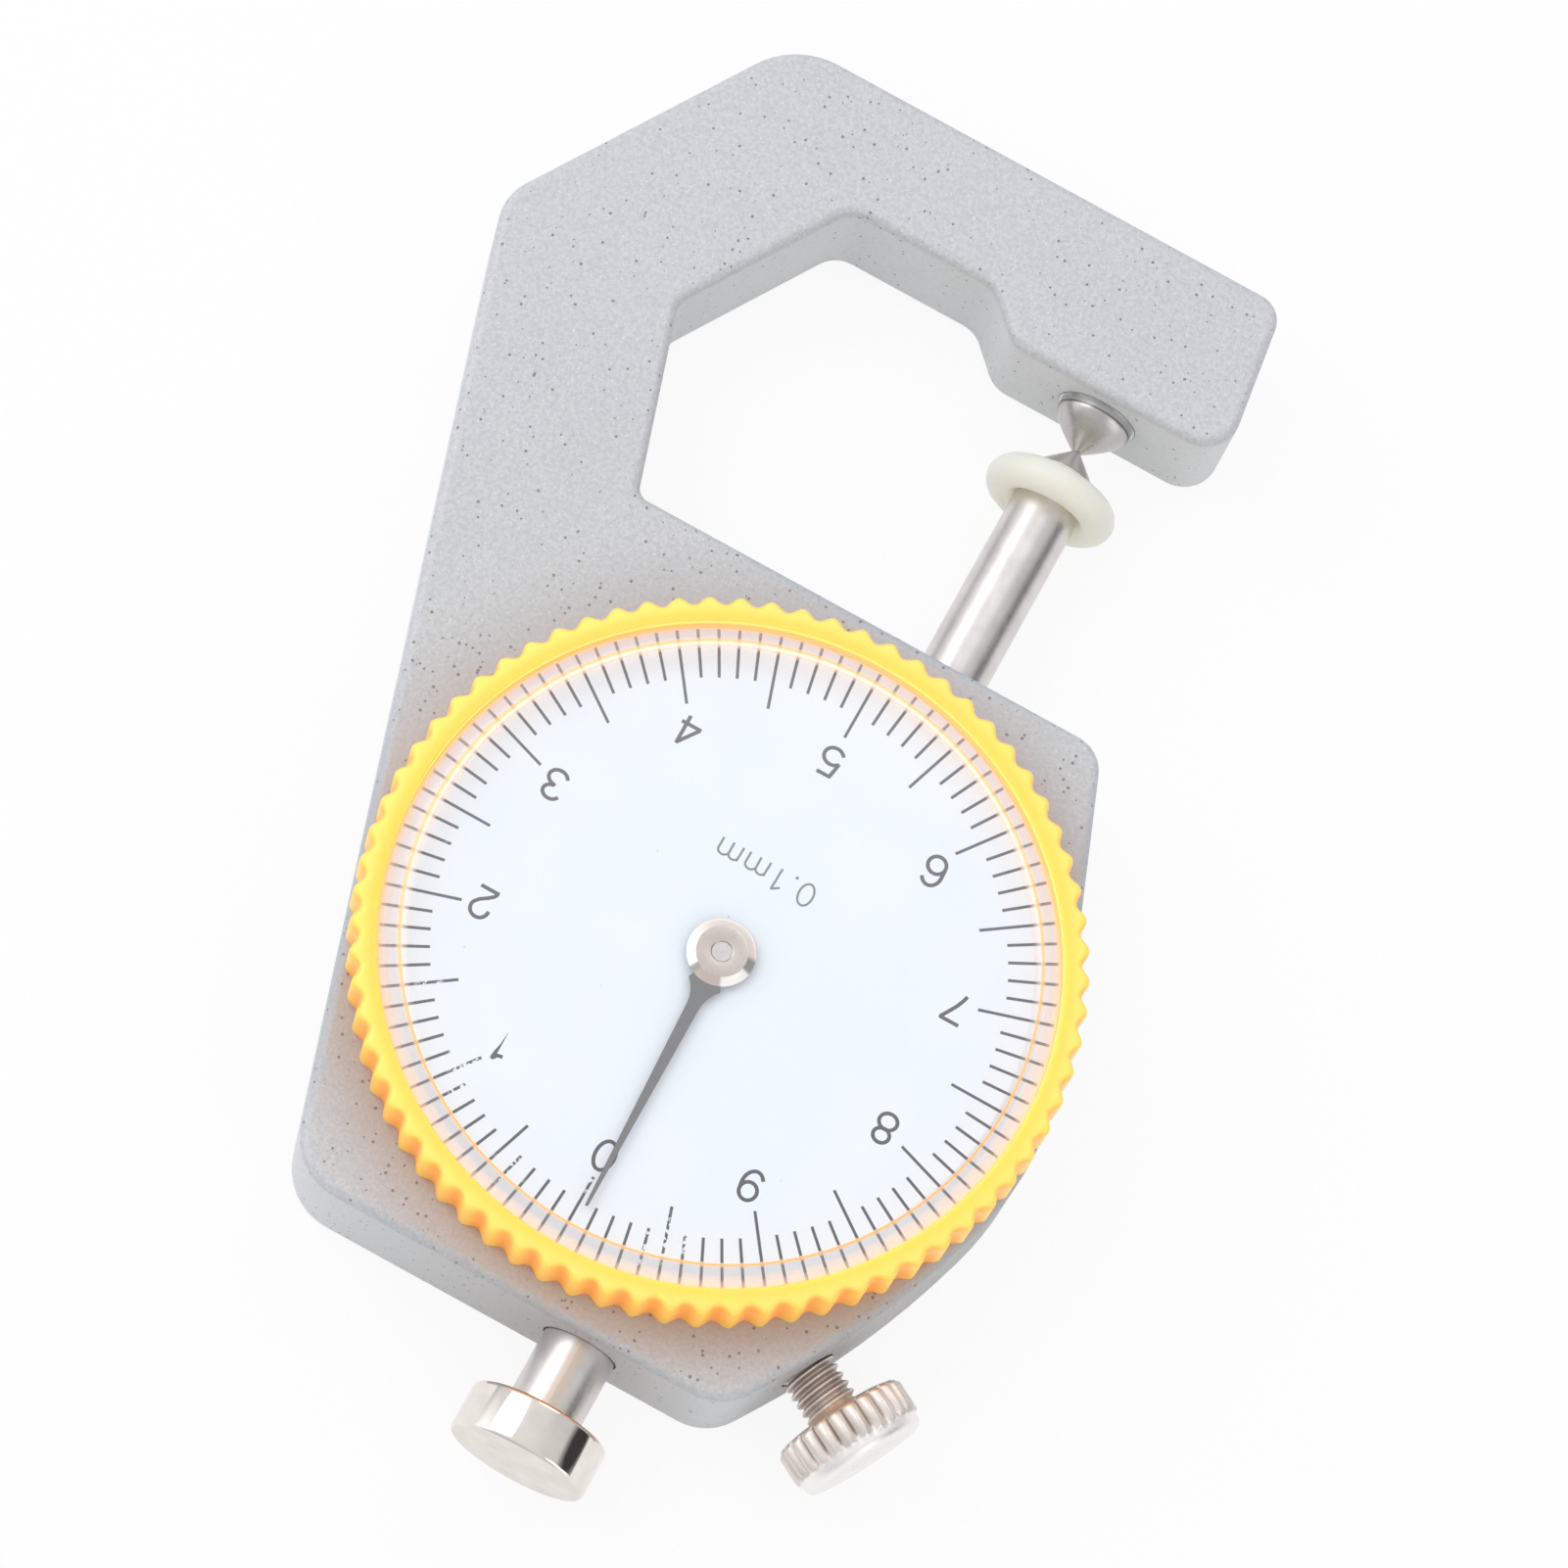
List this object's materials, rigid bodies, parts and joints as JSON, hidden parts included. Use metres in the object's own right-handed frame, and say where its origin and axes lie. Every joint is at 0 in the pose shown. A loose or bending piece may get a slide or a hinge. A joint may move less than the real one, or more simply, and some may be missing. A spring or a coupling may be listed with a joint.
{
  "type": "dial thickness gauge",
  "caption": "Pocket dial thickness gauge: C-shaped cast body, pointed spindle and anvil, turning scalloped bezel with a round dial, pull knob and lock screw.",
  "frame": {"origin": "on the flat back face, under the pointer's axis", "axes": "+Z out of the dial, +Y along the measuring spindle towards the fixed anvil, +X to the right as the dial is seen"},
  "size_m": [0.0498, 0.0745, 0.011],
  "materials": {
    "cast_paint": "fine-grained silver-grey paint on a casting",
    "ground_steel": "ground",
    "bright_nickel": "polished nickel plate",
    "yellow_plastic": "moulded, slightly glossy",
    "clear_plastic": "clear, polished",
    "dial_white": "printed, satin",
    "pointer_grey": "satin",
    "bush_brass": "turned",
    "spring_steel": "drawn wire and strip",
    "clear_rubber": "translucent, smooth"
  },
  "bodies": {
    "gauge_body": {"frame_body": "cast_paint", "fixed_anvil": "ground_steel", "upper_bush": "bush_brass", "lower_bush": "bush_brass", "spring_post": "ground_steel", "return_spring": "spring_steel", "pivot_bush": "bush_brass", "movement_plate": "bush_brass", "movement_screws": "ground_steel", "hairspring": "spring_steel", "hairspring_stud": "bush_brass", "bezel_clip": "spring_steel"},
    "spindle_set": {"spindle": "ground_steel", "bumper_ring": "clear_rubber", "pull_knob": "bright_nickel", "guide_pin": "ground_steel", "spring_pin": "ground_steel"},
    "pointer_set": {"pinion_arbor": "ground_steel", "pointer_hub": "bright_nickel", "pointer_blade": "pointer_grey", "hairspring_collet": "bush_brass"},
    "bezel_set": {"bezel": "yellow_plastic", "crystal": "clear_plastic", "dial_plate": "dial_white"},
    "lock_plug_set": {"lock_plug": "bush_brass"},
    "lock_screw_set": {"lock_screw": "bright_nickel"}
  },
  "joints": [
    {"name": "spindle_slide", "type": "slide", "parent": "gauge_body", "child": "spindle_set", "axis": [0, -1, 0], "range_m": [0, 0.0109], "stiffness_N_per_m": 60, "springref_m": -0.006, "deforming": ["return_spring"]},
    {"name": "pointer_turn", "type": "hinge", "parent": "gauge_body", "child": "pointer_set", "pos_m": [0, 0, 0.00385], "axis": [0, 0, -1], "range_deg": [-1, 394]},
    {"name": "bezel_turn", "type": "hinge", "parent": "gauge_body", "child": "bezel_set", "pos_m": [0, 0, 0.0085], "axis": [0, 0, 1], "continuous": true},
    {"name": "lock_plug_slide", "type": "slide", "parent": "gauge_body", "child": "lock_plug_set", "axis": [-0.8746, 0.4848, 0], "range_m": [-0.0005, 0.00022]},
    {"name": "lock_screw_turn", "type": "hinge", "parent": "lock_plug_set", "child": "lock_screw_set", "pos_m": [0.0144, -0.0156, 0.00385], "axis": [-0.8746, 0.4848, 0], "range_deg": [-361, 160]}
  ],
  "couplings": [
    {"joint": "pointer_turn", "follows": "spindle_slide", "rad_per_m": 628.32},
    {"joint": "lock_screw_turn", "follows": "lock_plug_slide", "rad_per_m": 12566}
  ]
}
